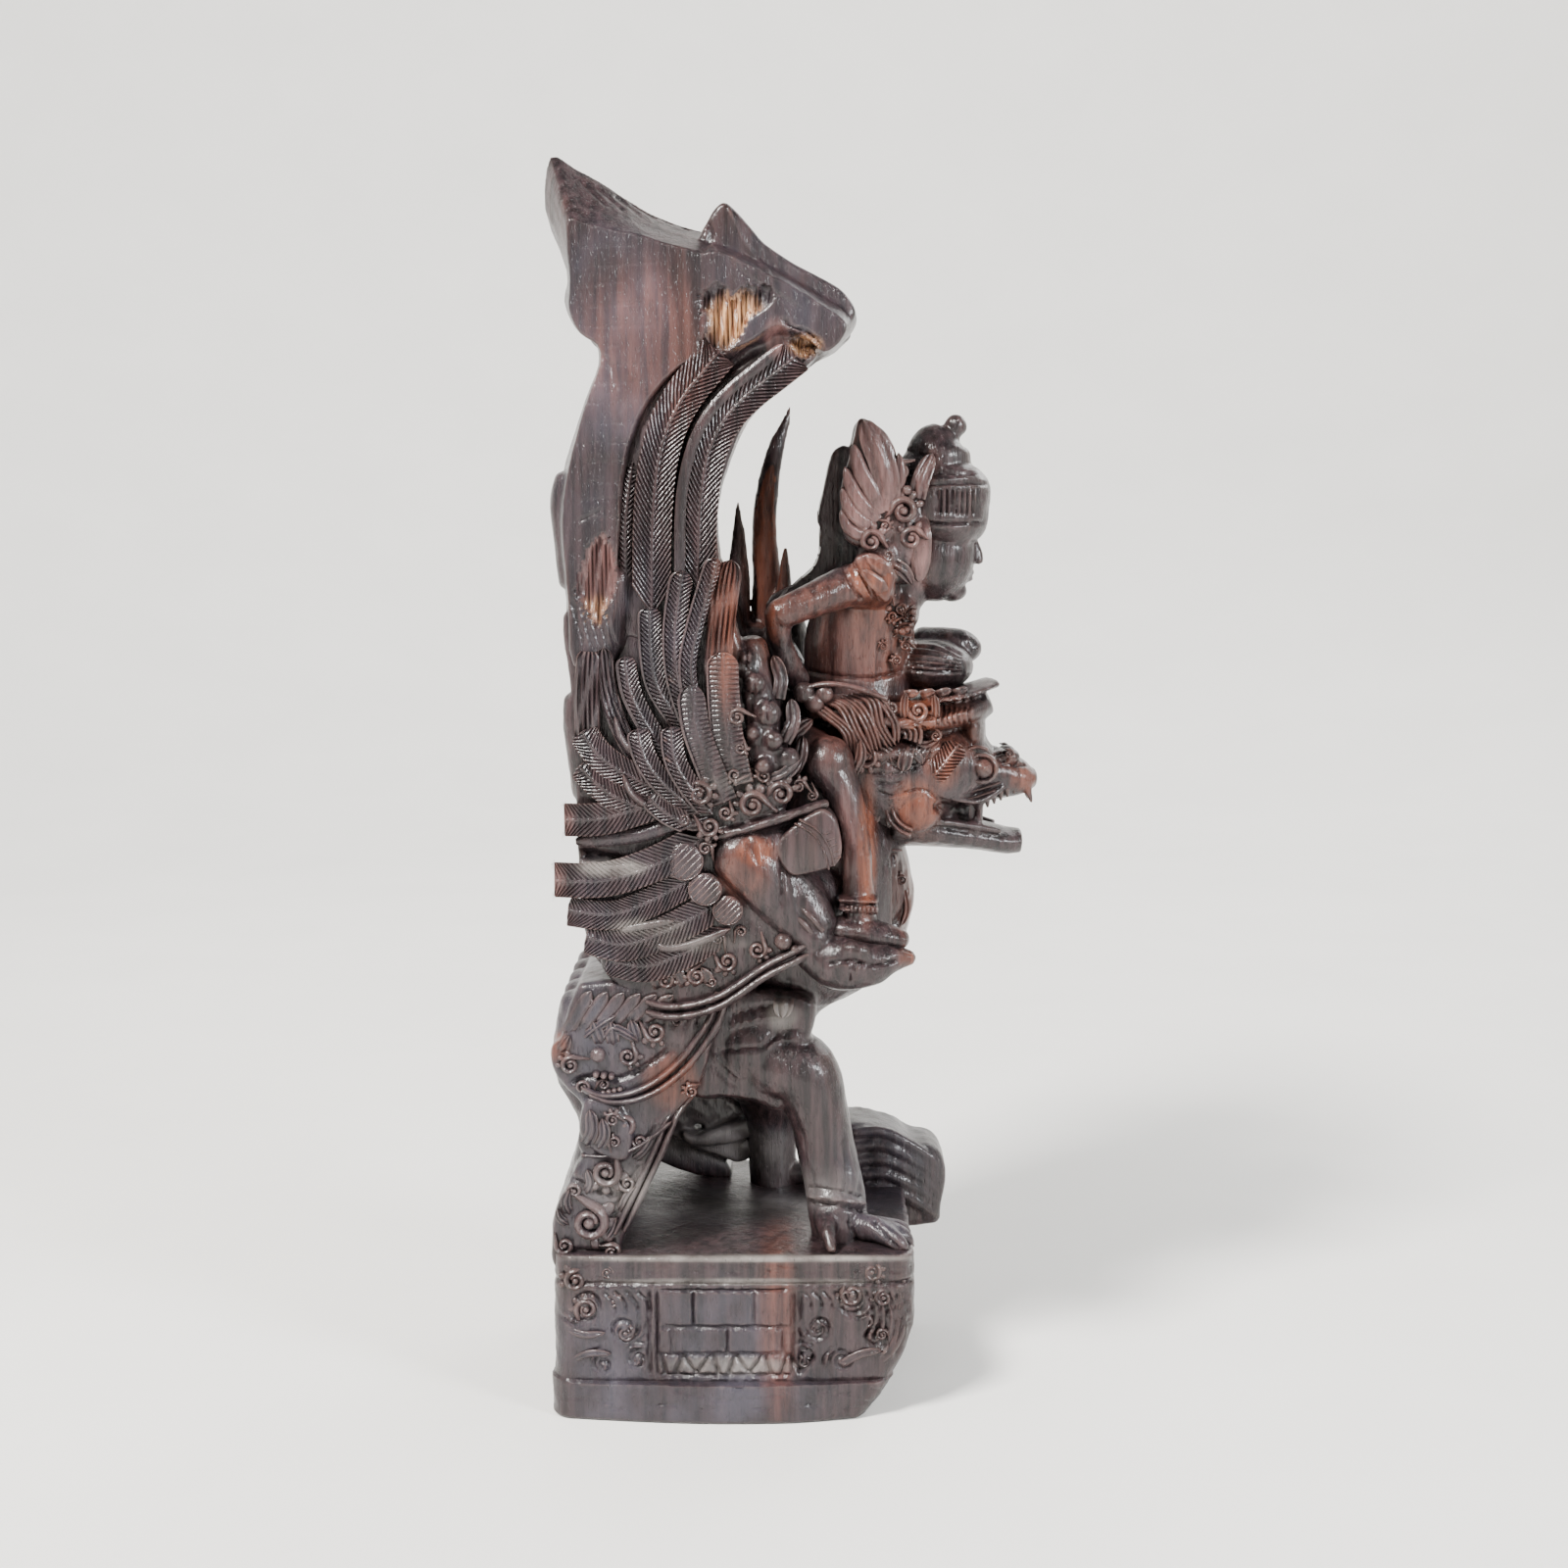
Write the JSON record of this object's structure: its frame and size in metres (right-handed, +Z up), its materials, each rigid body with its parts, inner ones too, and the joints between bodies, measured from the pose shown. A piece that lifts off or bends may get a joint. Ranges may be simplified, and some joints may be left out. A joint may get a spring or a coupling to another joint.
{
  "type": "garuda and rider statue",
  "caption": "Carved dark-wood statue of a winged, bird-headed Garuda standing on a plinth with a crowned rider on its shoulders.",
  "frame": {"origin": "middle of the plinth's flat underside", "axes": "+X the way the Garuda and its rider face, +Y to the figures' left, +Z up"},
  "size_m": [0.1598, 0.111, 0.3987],
  "materials": {
    "carved_wood": "hand-carved, polished by handling, dusty in the recesses"
  },
  "bodies": {
    "root": {"statue": "carved_wood"}
  },
  "joints": []
}
